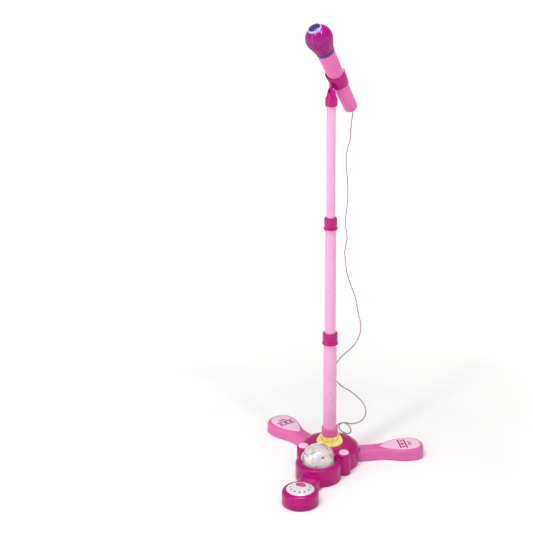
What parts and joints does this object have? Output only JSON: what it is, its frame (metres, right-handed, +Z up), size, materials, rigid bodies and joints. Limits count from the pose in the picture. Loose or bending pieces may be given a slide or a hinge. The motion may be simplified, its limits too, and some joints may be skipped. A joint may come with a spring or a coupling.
{
  "type": "toy microphone with stand",
  "caption": "Toy microphone in a tilting clip on a telescopic twist-lock pole, standing on a light-up base with a round hub, a clear dome, a speaker foot and two legs.",
  "frame": {"origin": "on the floor, on the axis of the pole, at the underside of the rubber pad in the middle of the hub", "axes": "+Z up along the pole; -Y towards the round front foot; +X to the right of someone facing the front foot from the hub's far side, so the right leg points towards +X and +Y"},
  "size_m": [0.3496, 0.3434, 0.9081],
  "materials": {
    "magenta_gloss": "glossy moulded magenta plastic",
    "magenta_matte": "finely textured magenta plastic",
    "pink_gloss": "glossy light pink plastic",
    "pink_satin": "satin pink plastic",
    "pale_label": "glossy pale pink plate",
    "pale_button": "glossy pale pink button",
    "pink_button": "glossy pink button",
    "violet_plastic": "glossy violet-blue plastic",
    "magenta_translucent": "translucent magenta plastic with a moulded mesh",
    "purple_foam": "open foam",
    "silver_plate": "bright silvered plastic",
    "clear_dome": "clear polished plastic",
    "glowing_crystal": "white faceted crystal plastic",
    "amber_crystal": "clear amber prismatic plastic",
    "lamp_glow": "clear lamp",
    "bright_metal": "bright steel",
    "green_board": "green circuit board",
    "black_plastic": "black plastic",
    "white_plastic": "white nylon",
    "cell_wrap": "plain blue cell wrap",
    "speaker_paper": "black paper cone",
    "grey_rubber": "dark rubber",
    "cord_plastic": "soft mauve-pink sheath"
  },
  "bodies": {
    "root": {"hub_shell": "magenta_gloss", "base_cover": "magenta_matte", "battery_door": "magenta_matte", "battery_cells": "cell_wrap", "battery_contacts": "bright_metal", "main_board": "green_board", "aux_jack": "black_plastic", "speaker_frame": "black_plastic", "speaker_cone": "speaker_paper", "speaker_magnet": "bright_metal", "speaker_panel": "silver_plate", "mode_switch": "black_plastic", "dome_cover": "clear_dome", "ball_motor": "bright_metal", "dome_board": "white_plastic", "ring_board": "white_plastic", "lamps": "lamp_glow", "light_ring": "amber_crystal", "pole_socket": "white_plastic", "base_collar": "pink_satin", "lower_tube": "pink_gloss", "lower_lock_ring": "white_plastic", "left_leg": "pink_satin", "right_leg": "pink_satin", "left_label": "pale_label", "right_label": "pale_label", "rubber_feet": "grey_rubber", "cover_screws": "bright_metal", "button_switches": "black_plastic", "hub_gland": "cord_plastic", "cord_base": "cord_plastic", "cord_lower": "cord_plastic"},
    "lower_collar": {"lower_collar": "magenta_gloss"},
    "middle_section": {"middle_tube": "pink_gloss", "middle_bush": "white_plastic", "upper_lock_ring": "white_plastic", "cord_middle": "cord_plastic"},
    "upper_collar": {"upper_collar": "magenta_gloss"},
    "upper_section": {"upper_tube": "pink_gloss", "upper_bush": "white_plastic", "cord_upper": "cord_plastic"},
    "neck": {"neck": "magenta_gloss", "tilt_pin": "bright_metal", "cord_tilt": "cord_plastic"},
    "clip": {"clip": "magenta_gloss", "cord_mic": "cord_plastic"},
    "microphone": {"mic_handle": "pink_satin", "mic_ring": "violet_plastic", "mic_grille": "magenta_translucent", "mic_cap": "violet_plastic", "mic_foam": "purple_foam", "mic_capsule": "bright_metal", "capsule_holder": "black_plastic", "tail_gland": "cord_plastic"},
    "left_button": {"left_button": "pale_button"},
    "right_button": {"right_button": "pale_button"},
    "mode_button": {"mode_button": "pink_button"},
    "crystal_ball": {"crystal_ball": "glowing_crystal", "ball_shaft": "bright_metal"}
  },
  "joints": [
    {"name": "middle_slide", "type": "slide", "parent": "root", "child": "middle_section", "axis": [0, 0, 1], "range_m": [-0.21, 0], "deforming": ["cord_lower"]},
    {"name": "upper_slide", "type": "slide", "parent": "middle_section", "child": "upper_section", "axis": [0, 0, 1], "range_m": [-0.205, 0], "deforming": ["cord_middle"]},
    {"name": "lower_collar_twist", "type": "hinge", "parent": "root", "child": "lower_collar", "pos_m": [0, 0, 0.277], "axis": [0, 0, 1], "range_deg": [0, 60]},
    {"name": "upper_collar_twist", "type": "hinge", "parent": "middle_section", "child": "upper_collar", "pos_m": [0, 0, 0.518], "axis": [0, 0, 1], "range_deg": [0, 60]},
    {"name": "neck_swivel", "type": "hinge", "parent": "upper_section", "child": "neck", "pos_m": [0, 0, 0.757], "axis": [0, 0, 1], "range_deg": [-90, 90], "deforming": ["cord_upper"]},
    {"name": "clip_tilt", "type": "hinge", "parent": "neck", "child": "clip", "pos_m": [0, 0, 0.781], "axis": [0.9272, -0.3746, 0], "range_deg": [-10, 42], "deforming": ["cord_tilt"]},
    {"name": "microphone_lift", "type": "slide", "parent": "clip", "child": "microphone", "axis": [-0.204, -0.505, 0.8387], "range_m": [0, 0.115], "deforming": ["cord_mic"]},
    {"name": "left_button_press", "type": "slide", "parent": "root", "child": "left_button", "axis": [0, 0, -1], "range_m": [0, 0.002], "stiffness_N_per_m": 600, "springref_m": -0.0005},
    {"name": "right_button_press", "type": "slide", "parent": "root", "child": "right_button", "axis": [0, 0, -1], "range_m": [0, 0.002], "stiffness_N_per_m": 600, "springref_m": -0.0005},
    {"name": "mode_button_press", "type": "slide", "parent": "root", "child": "mode_button", "axis": [0, 0, -1], "range_m": [0, 0.001], "stiffness_N_per_m": 600, "springref_m": -0.0005},
    {"name": "ball_spin", "type": "hinge", "parent": "root", "child": "crystal_ball", "pos_m": [0, -0.0715, 0.028], "axis": [0, 0, 1], "continuous": true}
  ]
}
